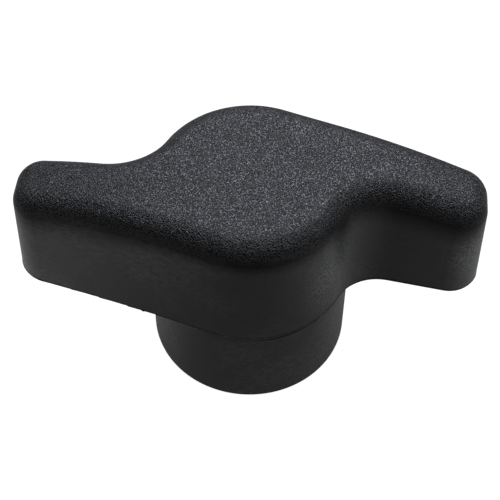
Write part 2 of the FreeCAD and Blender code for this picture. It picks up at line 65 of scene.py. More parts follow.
# %% Read the main sizes
handle_low, handle_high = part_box("wing_handle")
bush_low, bush_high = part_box("threaded_insert")
mounts = {m["name"]: m for m in frame["record"]["mounts"]}
thread = mounts["thread_m8"]
nut_height = handle_high.z
half_span = handle_high.x
bush_radius = bush_high.x
bush_length = bush_high.z - bush_low.z
core_radius = thread["dims"]["r_mm"] * MM
core_length = thread["dims"]["length_mm"] * MM
lead_in = thread["pos_m"][2] - core_length / 2
print("span", round(2 * half_span / MM, 2), "height", round(nut_height / MM, 2))
print("bush radius", round(bush_radius / MM, 2), "lead-in", round(lead_in / MM, 2))

# %% [markdown]
# ## The camera
# A long lens from above and in front keeps the two wings almost the same size.
# The camera is placed by angles round the nut, like a tripod on a circle, and
# rolled by under a degree, as a hand-set tripod is.

# %% Place the camera
VIEW_AZIMUTH = math.radians(11.8)
VIEW_ELEVATION = math.radians(53.5)
VIEW_ROLL = math.radians(0.83)
VIEW_DISTANCE = 168 * MM
LENS = 86.4
SENSOR = 36.0
AIM_HEIGHT = 16.6 * MM


def direction(azimuth, elevation):
    """Unit vector from the nut towards a point on the studio's dome."""
    level = math.cos(elevation)
    return Vector((math.sin(azimuth) * level, -math.cos(azimuth) * level, math.sin(elevation)))


def add_camera():
    """A camera that looks at the middle of the nut."""
    camera = bpy.data.objects.new("camera", bpy.data.cameras.new("camera"))
    bpy.context.scene.collection.objects.link(camera)
    back = direction(VIEW_AZIMUTH, VIEW_ELEVATION)
    right = Vector((math.cos(VIEW_AZIMUTH), math.sin(VIEW_AZIMUTH), 0))
    turn = Matrix((right, back.cross(right), back)).transposed().to_4x4()
    roll = Matrix.Rotation(VIEW_ROLL, 4, "Z")
    place = Matrix.Translation(Vector((0, 0, AIM_HEIGHT)) + back * VIEW_DISTANCE)
    camera.matrix_world = place @ turn @ roll
    camera.data.lens = LENS
    camera.data.sensor_width = SENSOR
    camera.data.clip_start = VIEW_DISTANCE / 20
    camera.data.clip_end = 10
    bpy.context.scene.camera = camera
    return camera


camera = add_camera()
print("camera at", [round(v, 3) for v in camera.location])

# %% [markdown]
# ## A small kit for node trees
# Materials and Geometry Nodes are both graphs. These helpers add one node and
# plug in its inputs by name or number, so a graph reads as a list of steps.

# %% Define the node helpers
def plug(tree, node, inputs):
    """Set each input to a number, or link it to another node's output."""
    for key, value in inputs.items():
        socket = node.inputs[key]
        if isinstance(value, bpy.types.NodeSocket):
            tree.links.new(value, socket)
        else:
            socket.default_value = value
    return node


def add(tree, kind, inputs=None, **settings):
    """Add a node, change its settings, and plug in its inputs."""
    node = tree.nodes.new(kind)
    for key, value in settings.items():
        setattr(node, key, value)
    return plug(tree, node, inputs or {})


def calc(tree, operation, a, b=0.0, c=0.0, clamp=False):
    """One step of arithmetic, in a material or in Geometry Nodes."""
    node = add(tree, "ShaderNodeMath", {0: a, 1: b, 2: c}, operation=operation)
    node.use_clamp = clamp
    return node.outputs[0]


def ramp(tree, value, low, high, to_low=0.0, to_high=1.0):
    """A smooth change from one number to another as value goes low to high."""
    node = add(tree, "ShaderNodeMapRange", {"Value": value}, interpolation_type="SMOOTHSTEP")
    plug(tree, node, {"From Min": low, "From Max": high, "To Min": to_low, "To Max": to_high})
    return node.outputs[0]


# %% [markdown]
# ## Light and floor
# Small black parts are often shot on a white light table under one broad soft
# light. The table lights the sides from below, the soft light gives the top
# its even grey, and the room in front stays dark: that dark room is what
# the rounded edge mirrors.

# %% Build the studio
COOL_WHITE = (0.95, 0.99, 1.09)


def area_light(name, azimuth, elevation, distance, width, depth, watts):
    """A soft rectangle of light that faces the nut."""
    light = bpy.data.lights.new(name, "AREA")
    light.shape = "RECTANGLE"
    light.size = width
    light.size_y = depth
    light.energy = watts
    lamp = bpy.data.objects.new(name, light)
    bpy.context.scene.collection.objects.link(lamp)
    lamp.location = direction(math.radians(azimuth), math.radians(elevation)) * distance
    lamp.rotation_euler = lamp.location.to_track_quat("Z", "Y").to_euler()
    return lamp


softbox = area_light("back_softbox", 179, 51, 0.60, 0.46, 0.36, 2.45)
diffuser = area_light("back_diffuser", 179, 49, 0.62, 1.20, 0.38, 1.65)
area_light("left_strip", 262, 30, 0.60, 0.20, 0.50, 0.30)
area_light("right_strip", 98, 30, 0.60, 0.20, 0.50, 0.50)

softbox.data.color = COOL_WHITE
diffuser.data.color = COOL_WHITE

# %% [markdown]
# The table glows most close to the nut and fades further away, so the sides
# are lit from below while the rounded edge still mirrors the dark room. Only
# the camera sees the table as fully white.

# %% Add the table and the room
FLOOR_SIZE = 3.0
FLOOR_SEEN = 1.0
FLOOR_NEAR = 0.22
FLOOR_FAR = 0.05
GLOW_FULL = 0.035
GLOW_GONE = 0.11
GLOW_MIDDLE = 0.005
GLOW_DIM, GLOW_BRIGHT = 0.014, 0.050
SIDE_GAIN = 2.6
FLOOR_PAINT = 0.12


def add_floor():
    """A pale table that looks white and doesn't flood the nut with light."""
    bpy.ops.mesh.primitive_plane_add(size=FLOOR_SIZE)
    floor = bpy.context.object
    floor.name = "floor"
    paint = bpy.data.materials.new("pale_table")
    paint.use_nodes = True
    tree = paint.node_tree
    shader = tree.nodes["Principled BSDF"]
    place = add(tree, "ShaderNodeTexCoord").outputs["Object"]
    away = add(tree, "ShaderNodeVectorMath", {0: place}, operation="LENGTH").outputs["Value"]
    glow = ramp(tree, away, GLOW_FULL, GLOW_GONE, FLOOR_NEAR, FLOOR_FAR)
    across = add(tree, "ShaderNodeSeparateXYZ", {0: place}).outputs["X"]
    aside = calc(tree, "ABSOLUTE", calc(tree, "SUBTRACT", across, GLOW_MIDDLE))
    glow = calc(tree, "MULTIPLY", glow, ramp(tree, aside, GLOW_DIM, GLOW_BRIGHT, 1.0, SIDE_GAIN))
    seen = add(tree, "ShaderNodeLightPath").outputs["Is Camera Ray"]
    plug(tree, shader, {
        "Base Color": (FLOOR_PAINT, FLOOR_PAINT, FLOOR_PAINT, 1),
        "Roughness": 0.8,
        "Specular IOR Level": 0.1,
        "Emission Color": (1, 1, 1, 1),
        "Emission Strength": calc(tree, "MAXIMUM", glow, calc(tree, "MULTIPLY", seen, FLOOR_SEEN)),
    })
    floor.data.materials.append(paint)
    return floor


def add_world(room, backdrop):
    """A dim room for the reflections, and a white one behind the nut."""
    world = bpy.data.worlds.new("studio")
    bpy.context.scene.world = world
    world.use_nodes = True
    nodes = world.node_tree.nodes
    links = world.node_tree.links
    nodes.clear()
    seen = nodes.new("ShaderNodeBackground")
    seen.inputs["Color"].default_value = (backdrop, backdrop, backdrop, 1)
    unseen = nodes.new("ShaderNodeBackground")
    unseen.inputs["Color"].default_value = (room, room, room, 1)
    path = nodes.new("ShaderNodeLightPath")
    mix = nodes.new("ShaderNodeMixShader")
    out = nodes.new("ShaderNodeOutputWorld")
    links.new(path.outputs["Is Camera Ray"], mix.inputs["Fac"])
    links.new(unseen.outputs[0], mix.inputs[1])
    links.new(seen.outputs[0], mix.inputs[2])
    links.new(mix.outputs[0], out.inputs["Surface"])


floor = add_floor()
add_world(room=0.01, backdrop=1.0)
bpy.context.scene.view_settings.view_transform = "Standard"

# %% [markdown]
# ## The skin of the handle
# The steel mould of such a handle is spark-eroded. Its upper half is left
# coarse, which gives the top a matte, sparkling grain, and its lower half is
# finer, so the sides are satin. One material holds both: the direction of the
# surface says which half of the mould it came from, and the grain itself is
# bump, because a grain of a sixth of a millimetre would need millions of faces.
# Noise is built on a cube lattice and is weak on the lattice's own planes, so
# the pattern is tilted, and the flat top cuts across it.

# %% Set the sizes of the grain
GRAIN_PER_METRE = 1 / (0.17 * MM)
# Cell size of the painted glints on the top.
GLINT_PER_METRE = 1 / (0.15 * MM)
FINE_PER_METRE = 1 / (0.16 * MM)
CLOUD_PER_METRE = 1 / (0.9 * MM)
REGION_PER_METRE = 1 / (14 * MM)
GRAIN_DEPTH, GRAIN_DEEP = 0.052 * MM, 0.095 * MM
GRAIN_TILT = (0.61, 0.37, 0.23)
FINE_DEPTH = 0.010 * MM
# The first two areas are rubs on the right of the hub. The third and fourth lighten the ends of the
# wings as a painted highlight of the side lights. The last lightens the right of the collar.
RUBS_AND_TIP_SHEEN = [(Vector((12.3, -5.9, 25.0)) * MM, 0.8 * MM, 6.5 * MM, 1.15),
          (Vector((12.3, -6.2, 20.5)) * MM, 0.8 * MM, 6.5 * MM, 0.85),
          (Vector((31.3, 3.4, 22.5)) * MM, 1.2 * MM, 6.5 * MM, 1.9),
          (Vector((-31.0, -1.0, 24.0)) * MM, 1.0 * MM, 6.0 * MM, 0.5),
          (Vector((13.5, -3.0, 10.0)) * MM, 1.0 * MM, 6.0 * MM, 0.4)]
# Where the painted shadow of the crease lies.
CREASE_MIDDLE, CREASE_HALF = 14.86 * MM, 0.26 * MM
CREASE_REACH = 14.28 * MM
CROWN_TOP, CROWN_FLAT, CROWN_RADIUS = 33.65 * MM, 8.0 * MM, 82.0 * MM
REACH_START, REACH_HUB, REACH_WING = 2.6 * MM, 5.2 * MM, 7.0 * MM
REACH_INNER, REACH_OUTER = 4.0 * MM, 20.0 * MM


def noise(tree, spot, per_metre, detail=2.0, roughness=0.5):
    """Noise in the space of the piece, as one number from 0 to 1."""
    node = add(tree, "ShaderNodeTexNoise", {"Vector": spot, "Scale": per_metre})
    plug(tree, node, {"Detail": detail, "Roughness": roughness})
    return node.outputs["Fac"]


def tinted(tree, shade, red, green, blue):
    """A colour that is one shade of grey with a slight tint."""
    node = add(tree, "ShaderNodeCombineColor")
    for name, part in (("Red", red), ("Green", green), ("Blue", blue)):
        tree.links.new(calc(tree, "MULTIPLY", shade, part), node.inputs[name])
    return node.outputs["Color"]


# %% [markdown]
# A scuff is a small area that has rubbed against something: it is lighter and
# rougher, with darker spots where the rub missed. The same lighter areas also
# stand on the ends of the wings, where they are a painted highlight of the side
# lights. The crease is the thin line where the rim ends and the collar starts;
# its darker colour is painted shadow, with some dust.

# %% Mask the scuffs, the painted tip highlights and the painted crease shadow
def rub_and_sheen_mask(tree, spot):
    """How much each place is lightened by rubbing and by painted highlight: a few soft areas, broken
    up by noise.
    """
    total = 0.0
    for place, near, far, strength in RUBS_AND_TIP_SHEEN:
        away = add(tree, "ShaderNodeVectorMath", {0: spot, 1: place}, operation="DISTANCE")
        total = calc(tree, "ADD", total, ramp(tree, away.outputs["Value"], near, far, strength, 0.0))
    specks = ramp(tree, noise(tree, spot, 1 / (0.26 * MM), 3.0, 0.8), 0.47, 0.58)
    return calc(tree, "MULTIPLY", total, specks)


def painted_crease_shade(tree, spot):
    """1 in the line between rim and collar, round the whole collar: a painted shadow with some dust.
    """
    parts = add(tree, "ShaderNodeSeparateXYZ", {0: spot})
    flat = add(tree, "ShaderNodeVectorMath", {0: spot, 1: (1, 1, 0)}, operation="MULTIPLY")
    out = add(tree, "ShaderNodeVectorMath", {0: flat.outputs[0]}, operation="LENGTH")
    off = calc(tree, "ABSOLUTE", calc(tree, "SUBTRACT", parts.outputs["Z"], CREASE_MIDDLE))
    line = ramp(tree, off, CREASE_HALF / 3, CREASE_HALF, 1.0, 0.0)
    close = calc(tree, "LESS_THAN", out.outputs["Value"], CREASE_REACH)
    # Noise breaks up the painted shadow and dust along the line.
    shade_and_dust = ramp(tree, noise(tree, spot, 1 / (6.0 * MM)), 0.40, 0.62, 0.25, 0.85)
    return calc(tree, "MULTIPLY", calc(tree, "MULTIPLY", line, close), shade_and_dust)


# %% [markdown]
# The coarse texture runs past the rounded edge and a little way down the
# sides, further on the wings than on the hub. Its pits swallow most of the
# shine that the table gives the satin below, so it draws a soft dark band.
# How far down it reaches is measured from the curved top.

# %% Mask the coarse texture on the sides
def texture_reach(tree, spot):
    """1 near the top edge, fading to 0 where the satin of the sides begins."""
    parts = add(tree, "ShaderNodeSeparateXYZ", {0: spot})
    across = calc(tree, "ABSOLUTE", parts.outputs["X"])
    past = calc(tree, "MAXIMUM", calc(tree, "SUBTRACT", across, CROWN_FLAT), 0.0)
    drop = calc(tree, "DIVIDE", calc(tree, "MULTIPLY", past, past), 2 * CROWN_RADIUS)
    down = calc(tree, "SUBTRACT", calc(tree, "SUBTRACT", CROWN_TOP, drop), parts.outputs["Z"])
    end = ramp(tree, across, REACH_INNER, REACH_OUTER, REACH_HUB, REACH_WING)
    return ramp(tree, down, REACH_START, end, 1.0, 0.0)


# %% Make the black plastic
def black_plastic():
    """Glass-filled black plastic with a coarse top and satin, slightly rubbed sides, painted glints
    on the top, painted highlights on the wing tips and painted shadow in the crease.
    """
    material = bpy.data.materials.new("black_plastic")
    material.use_nodes = True
    tree = material.node_tree
    shader = tree.nodes["Principled BSDF"]
    place = add(tree, "ShaderNodeTexCoord")
    spot = place.outputs["Object"]
    facing = add(tree, "ShaderNodeSeparateXYZ", {0: place.outputs["Normal"]}).outputs["Z"]
    upper = ramp(tree, facing, 0.10, 0.50)
    level = ramp(tree, facing, 0.50, 0.90)
    side = calc(tree, "SUBTRACT", 1.0, upper)

    tilted = add(tree, "ShaderNodeMapping", {"Vector": spot, "Rotation": GRAIN_TILT}).outputs[0]
    grain = ramp(tree, noise(tree, tilted, GRAIN_PER_METRE, 1.5, 0.6), 0.34, 0.66)
    fine = noise(tree, spot, FINE_PER_METRE)
    # Painted glints: a few grain cells on the top get a much lighter colour, standing in for sparkles
    # of the top light on the grain.
    glint_cells = add(tree, "ShaderNodeTexVoronoi", {"Vector": tilted, "Scale": GLINT_PER_METRE})
    chance = add(tree, "ShaderNodeSeparateColor", {0: glint_cells.outputs["Color"]}).outputs[0]
    painted_glint = calc(tree, "MULTIPLY", calc(tree, "GREATER_THAN", chance, 0.985), level)
    stretched = add(tree, "ShaderNodeVectorMath", {0: spot, 1: (1, 1, 1.6)}, operation="MULTIPLY")
    cloud = ramp(tree, noise(tree, stretched.outputs[0], CLOUD_PER_METRE, 5.0, 0.8), 0.38, 0.62)
    worn = ramp(tree, noise(tree, spot, REGION_PER_METRE), 0.42, 0.62, 0.15, 1.0)
    cloud = calc(tree, "MULTIPLY", cloud, worn)
    rub_and_sheen = rub_and_sheen_mask(tree, spot)
    crease_shade = painted_crease_shade(tree, spot)
    reach = calc(tree, "MULTIPLY", texture_reach(tree, spot), side)

    top_shade = calc(tree, "MULTIPLY_ADD", grain, 0.022, 0.002)
    side_shade = calc(tree, "MULTIPLY_ADD", cloud, 0.022, 0.003)
    shade = calc(tree, "ADD", calc(tree, "MULTIPLY", top_shade, level),
                 calc(tree, "MULTIPLY", side_shade, side))
    # Painted glints lighten the colour of the top here.
    shade = calc(tree, "MULTIPLY_ADD", painted_glint, 0.16, shade)
    # Rubs and the painted highlights on the wing tips lighten the colour here.
    shade = calc(tree, "MULTIPLY_ADD", rub_and_sheen, 0.060, shade)
    # Painted shadow in the crease darkens the colour here.
    shade = calc(tree, "MULTIPLY", shade, calc(tree, "SUBTRACT", 1.0, crease_shade))

    coarse_bump = add(tree, "ShaderNodeBump",
                      {"Height": grain, "Strength": upper,
                       "Distance": ramp(tree, facing, 0.78, 0.98, GRAIN_DEEP, GRAIN_DEPTH)})
    fine_bump = add(tree, "ShaderNodeBump",
                    {"Height": fine, "Distance": FINE_DEPTH, "Normal": coarse_bump.outputs[0]})
    rough = calc(tree, "MULTIPLY_ADD", grain, -0.10, 0.46)
    rough = calc(tree, "MULTIPLY_ADD", calc(tree, "MULTIPLY", cloud, side), -0.03, rough)
    rough = calc(tree, "MULTIPLY_ADD", rub_and_sheen, 0.12, rough)
    uneven = calc(tree, "MULTIPLY", calc(tree, "SUBTRACT", grain, 0.5), upper)
    gloss = calc(tree, "MULTIPLY_ADD", uneven, 0.60, 0.50)
    mottle = calc(tree, "MULTIPLY", calc(tree, "SUBTRACT", cloud, 0.35), side)
    gloss = calc(tree, "MULTIPLY_ADD", mottle, 0.14, gloss)
    gloss = calc(tree, "MULTIPLY_ADD", rub_and_sheen, 0.80, gloss)
    gloss = calc(tree, "MULTIPLY", gloss, calc(tree, "SUBTRACT", 1.0, crease_shade))
    gloss = calc(tree, "MULTIPLY", gloss, calc(tree, "MULTIPLY_ADD", reach, -0.72, 1.0))
    plug(tree, shader, {
        "Base Color": tinted(tree, shade, 0.96, 1.0, 1.08),
        "Roughness": rough,
        "Specular IOR Level": gloss,
        "Normal": fine_bump.outputs[0],
    })
    return material


plastic = black_plastic()
for holder in handle.material_slots:
    holder.material = plastic
print("handle:", len(handle.data.polygons), "faces,", plastic.name)

# %% [markdown]
# ## A small kit for Geometry Nodes
# A Geometry Nodes tree is a recipe for a mesh. Its named inputs are the sizes
# a maker would ask for. Once the recipe has run, the result is turned into a
# plain mesh, so the finished piece carries no modifier.

# %% Define the helpers for node-made pieces
SOCKETS = {bool: "NodeSocketBool", int: "NodeSocketInt", float: "NodeSocketFloat",
           Vector: "NodeSocketVector", bpy.types.Material: "NodeSocketMaterial"}


def new_recipe(name, sizes):
    """An empty tree with a named input for each size: the tree, its inputs, its output."""
    tree = bpy.data.node_groups.new(name, "GeometryNodeTree")
    tree.interface.new_socket("Geometry", in_out="INPUT", socket_type="NodeSocketGeometry")
    for label, value in sizes.items():
        tree.interface.new_socket(label, in_out="INPUT", socket_type=SOCKETS[type(value)])
    tree.interface.new_socket("Geometry", in_out="OUTPUT", socket_type="NodeSocketGeometry")
    return tree, add(tree, "NodeGroupInput").outputs, add(tree, "NodeGroupOutput").inputs[0]


def serve(tree, geometry, material, output):
    """The end of every recipe: real geometry with its material on."""
    real = add(tree, "GeometryNodeRealizeInstances", {"Geometry": geometry})
    coated = add(tree, "GeometryNodeSetMaterial",
                 {"Geometry": real.outputs[0], "Material": material})
    tree.links.new(coated.outputs[0], output)


def make_piece(name, start, tree, sizes):
    """Run a recipe on a starting mesh and keep the result as a plain mesh object."""
    helper = bpy.data.objects.new(name + "_start", start)
    bpy.context.scene.collection.objects.link(helper)
    modifier = helper.modifiers.new("recipe", "NODES")
    modifier.node_group = tree
    for item in tree.interface.items_tree:
        if item.in_out == "INPUT" and item.name in sizes:
            modifier[item.identifier] = sizes[item.name]
    seen = helper.evaluated_get(bpy.context.evaluated_depsgraph_get())
    mesh = bpy.data.meshes.new_from_object(seen)
    helper.modifiers.remove(modifier)
    bpy.data.objects.remove(helper)
    piece = bpy.data.objects.new(name, mesh)
    mesh.name = name
    bpy.context.scene.collection.objects.link(piece)
    return piece


def face_outwards(piece, weld, sharp_angle):
    """Close the seams, turn every face outwards, and keep only real edges sharp."""
    shell = bmesh.new()
    shell.from_mesh(piece.data)
    bmesh.ops.remove_doubles(shell, verts=shell.verts, dist=weld)
    bmesh.ops.dissolve_degenerate(shell, edges=shell.edges, dist=weld)
    bmesh.ops.recalc_face_normals(shell, faces=shell.faces)
    open_edges = sum(1 for edge in shell.edges if not edge.is_manifold)
    volume = shell.calc_volume(signed=True)
    shell.to_mesh(piece.data)
    shell.free()
    piece.data.shade_smooth()
    piece.data.set_sharp_from_angle(angle=sharp_angle)
    print(piece.name, len(piece.data.polygons), "faces, open edges", open_edges,
          "volume mm3", round(volume / MM ** 3, 1))


# %% [markdown]
# ## Brass for the bush
# A bush is turned from brass bar on a lathe. The tool leaves fine rings round
# the axis, on the end face as well as on the walls. A ring is where distance
# from the axis plus height stays the same, so one line of noise over that sum
# draws all of them. Handling leaves a slightly duller, redder bloom in places.

# %% Make the brass
TURNING_PITCH = 0.07 * MM
TURNING_DEPTH = 0.006 * MM
BLOOM_SIZE = 3.5 * MM
BRASS_BRIGHT = (0.72, 0.50, 0.21, 1)
BRASS_DULL = (0.46, 0.29, 0.12, 1)


def turned_brass():
    """Bright brass with turning rings and a little bloom."""
    material = bpy.data.materials.new("bush_brass")
    material.use_nodes = True
    tree = material.node_tree
    shader = tree.nodes["Principled BSDF"]
    spot = add(tree, "ShaderNodeTexCoord").outputs["Object"]
    flat = add(tree, "ShaderNodeVectorMath", {0: spot, 1: (1, 1, 0)}, operation="MULTIPLY")
    out = add(tree, "ShaderNodeVectorMath", {0: flat.outputs[0]}, operation="LENGTH")
    up = add(tree, "ShaderNodeSeparateXYZ", {0: spot}).outputs["Z"]
    along = calc(tree, "ADD", out.outputs["Value"], up)
    rings = add(tree, "ShaderNodeTexNoise",
                {"W": along, "Scale": 1 / TURNING_PITCH, "Detail": 2.0},
                noise_dimensions="1D").outputs["Fac"]
    bloom = ramp(tree, noise(tree, spot, 1 / BLOOM_SIZE, 3.0, 0.6), 0.42, 0.68)
    colour = add(tree, "ShaderNodeMix", {"Factor": bloom}, data_type="RGBA")
    colour.inputs[6].default_value = BRASS_BRIGHT
    colour.inputs[7].default_value = BRASS_DULL
    bump = add(tree, "ShaderNodeBump", {"Height": rings, "Distance": TURNING_DEPTH})
    rough = calc(tree, "MULTIPLY_ADD", bloom, 0.16, calc(tree, "MULTIPLY_ADD", rings, 0.12, 0.22))
    plug(tree, shader, {
        "Base Color": colour.outputs[2],
        "Metallic": 1.0,
        "Roughness": rough,
        "Normal": bump.outputs[0],
    })
    return material


brass = turned_brass()
print("made", brass.name)

# %% [markdown]
# ## The threaded bush
# The bush carries an M8 thread of 1.25 mm pitch in a blind hole, and a knurled
# wall with a waist that locks it in the plastic. A helix cut by a boolean gives
# ragged edges. Here the whole bush is one grid of points wrapped round the
# axis: the rows come from a drawn profile, and the thread and the knurl only
# move a row's points in or out as they go round, so the mesh stays closed.

# %% Draw the profile of the bush
CHAMFER = 0.4 * MM
PLAIN_BAND = 2.0 * MM
KNURL_START = 0.05 * MM
NECK_DEPTH, NECK_WIDTH = 0.8 * MM, 3.2 * MM
DRILL_POINT = 2.0 * MM
THREAD_PITCH = 1.25 * MM
THREAD_DEPTH = 0.60 * MM
ROWS_PER_PITCH = 10
FADE = 1.2 * MM
hole_end = core_length + lead_in
mouth_radius = core_radius + lead_in


def bush_profile():
    """Rows from the drill point, down the hole, round the end and up the wall.

    Each row is (radius, height, how much thread, how much knurl).
    """
    rows = [(0, hole_end + DRILL_POINT, 0, 0), (core_radius, hole_end, 0, 0)]
    steps = round((hole_end - lead_in) / THREAD_PITCH * ROWS_PER_PITCH)
    for k in range(1, steps):
        z = hole_end - (hole_end - lead_in) * k / steps
        rows.append((core_radius, z, min(1, (hole_end - z) / FADE, (z - lead_in / 2) / FADE), 0))
    low, high = bush_length / 2 - NECK_WIDTH / 2, bush_length / 2 + NECK_WIDTH / 2
    edge, neck = bush_radius - CHAMFER, bush_radius - NECK_DEPTH
    top = bush_length
    rows += [(core_radius, lead_in, 0, 0), (mouth_radius, 0, 0, 0), (edge, 0, 0, 0),
             (bush_radius, CHAMFER, 0, 0), (bush_radius, PLAIN_BAND, 0, 0),
             (bush_radius, PLAIN_BAND + KNURL_START, 0, 1), (bush_radius, low, 0, 1),
             (neck, low + NECK_DEPTH, 0, 0), (neck, high - NECK_DEPTH, 0, 0),
             (bush_radius, high, 0, 1),
             (bush_radius, top - CHAMFER, 0, 1), (edge, top, 0, 0), (0, top, 0, 0)]
    return rows


def profile_mesh(rows):
    """The profile as bare points that carry their thread and knurl weights."""
    mesh = bpy.data.meshes.new("bush_profile")
    mesh.from_pydata([(r, 0, z + bush_low.z) for r, z, _, _ in rows], [], [])
    for column, name in ((2, "thread"), (3, "knurl")):
        weights = mesh.attributes.new(name, "FLOAT", "POINT")
        weights.data.foreach_set("value", [row[column] for row in rows])
    return mesh


rows = bush_profile()
print("bush profile:", len(rows), "rows, hole ends at", round(hole_end / MM, 2), "mm")

# %% [markdown]
# The thread is a wave of the height minus the turn: one pitch of height is one
# turn, and the minus sign makes it right-handed. The wave is cut off flat at
# the crest and at the root, as a real thread is, with 60 degrees between flanks.
# The knurl is a row of square V grooves, as deep as half their width, with a
# narrow land of the turned wall left between them.

# %% Wrap the profile into a bush
KNURL_COUNT = 30
bush_sizes = {
    "Segments": 6 * KNURL_COUNT, "Rows": len(rows), "Pitch": THREAD_PITCH,
    "Thread depth": THREAD_DEPTH, "Crest half": 0.20 * MM,
    "Flank": THREAD_DEPTH * math.tan(math.radians(30)),
    "Knurl count": float(KNURL_COUNT), "Knurl depth": 0.4 * MM, "Weld": 0.001 * MM,
    "Material": brass,
}


def sampled(tree, source, kind, value, row):
    """Read one value from the profile's point with this row number."""
    node = add(tree, "GeometryNodeSampleIndex", data_type=kind)
    plug(tree, node, {"Geometry": source, "Value": value, "Index": row})
    return node.outputs[0]


def weight(tree, name):
    """The field of one named weight."""
    node = add(tree, "GeometryNodeInputNamedAttribute", {"Name": name}, data_type="FLOAT")
    return node.outputs["Attribute"]


def saw(tree, value):
    """A triangle wave: 0 at whole numbers and 1 halfway between them."""
    part = calc(tree, "FRACT", value)
    return calc(tree, "SUBTRACT", 1.0,
                calc(tree, "ABSOLUTE", calc(tree, "MULTIPLY_ADD", part, 2.0, -1.0)))


def bush_recipe():
    """A grid wrapped round the axis, with a helical thread and a knurl."""
    tree, given, result = new_recipe("turned_threaded_bush", bush_sizes)
    index = add(tree, "GeometryNodeInputIndex").outputs[0]
    row = calc(tree, "MODULO", index, given["Rows"])
    step = calc(tree, "FLOOR", calc(tree, "DIVIDE", index, given["Rows"]))
    turn = calc(tree, "DIVIDE", step, given["Segments"])
    profile = given["Geometry"]
    place = add(tree, "GeometryNodeInputPosition").outputs[0]
    point = add(tree, "ShaderNodeSeparateXYZ",
                {0: sampled(tree, profile, "FLOAT_VECTOR", place, row)})
    height = point.outputs["Z"]

    wave = saw(tree, calc(tree, "SUBTRACT", calc(tree, "DIVIDE", height, given["Pitch"]), turn))
    from_crest = calc(tree, "MULTIPLY", wave, calc(tree, "MULTIPLY", given["Pitch"], 0.5))
    past = calc(tree, "SUBTRACT", from_crest, given["Crest half"])
    groove = calc(tree, "DIVIDE", past, given["Flank"], clamp=True)
    groove = calc(tree, "MULTIPLY", groove, given["Thread depth"])
    groove = calc(tree, "MULTIPLY", groove,
                  sampled(tree, profile, "FLOAT", weight(tree, "thread"), row))

    half_step = calc(tree, "DIVIDE", calc(tree, "MULTIPLY", point.outputs["X"], math.pi),
                     given["Knurl count"])
    aside = calc(tree, "MULTIPLY", saw(tree, calc(tree, "MULTIPLY", turn, given["Knurl count"])),
                 half_step)
    notch = calc(tree, "MAXIMUM", calc(tree, "SUBTRACT", given["Knurl depth"], aside), 0.0)
    notch = calc(tree, "MULTIPLY", notch,
                 sampled(tree, profile, "FLOAT", weight(tree, "knurl"), row))

    radius = calc(tree, "SUBTRACT", calc(tree, "ADD", point.outputs["X"], groove), notch)
    angle = calc(tree, "MULTIPLY", turn, math.tau)
    spot = add(tree, "ShaderNodeCombineXYZ", {
        "X": calc(tree, "MULTIPLY", radius, calc(tree, "COSINE", angle)),
        "Y": calc(tree, "MULTIPLY", radius, calc(tree, "SINE", angle)),
        "Z": height})
    grid = add(tree, "GeometryNodeMeshGrid", {
        "Vertices X": calc(tree, "ADD", given["Segments"], 1.0), "Vertices Y": given["Rows"]})
    wrapped = add(tree, "GeometryNodeSetPosition",
                  {"Geometry": grid.outputs[0], "Position": spot.outputs[0]})
    closed = add(tree, "GeometryNodeMergeByDistance",
                 {"Geometry": wrapped.outputs[0], "Distance": given["Weld"]})
    serve(tree, closed.outputs[0], given["Material"], result)
    return tree


bush = make_piece("threaded_bush", profile_mesh(rows), bush_recipe(), bush_sizes)
face_outwards(bush, bush_sizes["Weld"], math.radians(32))
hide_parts("threaded_insert")
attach(bush, "root")

# %% [markdown]
# ## The flash line
# Where the two halves of the mould meet, a hair of plastic escapes. On this
# nut the halves meet at the widest line of the wings, just above their lower
# edge. The line is read from the handle itself: a welded copy of its mesh is
# cut at that height, and the longest loop of the cut is the outline.

# %% Find the widest line of the handle
WELD = 0.002 * MM
UNDERSIDE = 14.85 * MM
RIM_EDGE = 0.70 * MM
FLASH_HEIGHT = UNDERSIDE + RIM_EDGE


def loops_of(shell):
    """The closed rings of points in a mesh that has only edges."""
    waiting = set(shell.verts)
    rings = []
    while waiting:
        first = min(waiting, key=lambda v: v.index)
        ring, last, here = [first], None, first
        while True:
            waiting.discard(here)
            onward = [e.other_vert(here) for e in here.link_edges]
            onward = [v for v in onward if v is not last and v in waiting]
            if not onward:
                break
            last, here = here, onward[0]
            ring.append(here)
        rings.append([v.co.copy() for v in ring])
    return rings


def ring_length(ring):
    """How long a closed ring of points is."""
    return sum((a - b).length for a, b in zip(ring, ring[1:] + ring[:1]))


def outline_at(height):
    """The handle's outer outline at one height, as the edges of a mesh."""
    shell = bmesh.new()
    shell.from_mesh(handle.data)
    bmesh.ops.remove_doubles(shell, verts=shell.verts, dist=WELD)
    everything = shell.verts[:] + shell.edges[:] + shell.faces[:]
    bmesh.ops.bisect_plane(shell, geom=everything, plane_co=(0, 0, height),
                           plane_no=(0, 0, 1), clear_inner=True, clear_outer=True)
    shell.verts.index_update()
    ring = max(loops_of(shell), key=ring_length)
    shell.free()
    mesh = bpy.data.meshes.new("rim_outline")
    count = len(ring)
    mesh.from_pydata(ring, [(k, (k + 1) % count) for k in range(count)], [])
    print("outline:", count, "points,", round(ring_length(ring) / MM, 1), "mm round")
    return mesh


outline = outline_at(FLASH_HEIGHT)

# %% [markdown]
# The flash follows that line as a very thin bead. Noise along the line decides
# where a small burr is left, with a fixed seed, so the burrs never move. The
# mould closes tighter round the hub, so burrs keep to the wings. The bead is
# held inside the handle's own box.

# %% Grow the flash along the line
flash_sizes = {
    "Spacing": 0.20 * MM, "Thickness": 0.05 * MM, "Burr": 0.09 * MM,
    "Burr size": 1 / (0.9 * MM), "Seed": 28.0, "Clean radius": 17.0 * MM,
    "Low": Vector(handle_low), "High": Vector(handle_high), "Material": plastic,
}
BEAD_SIDES = 6


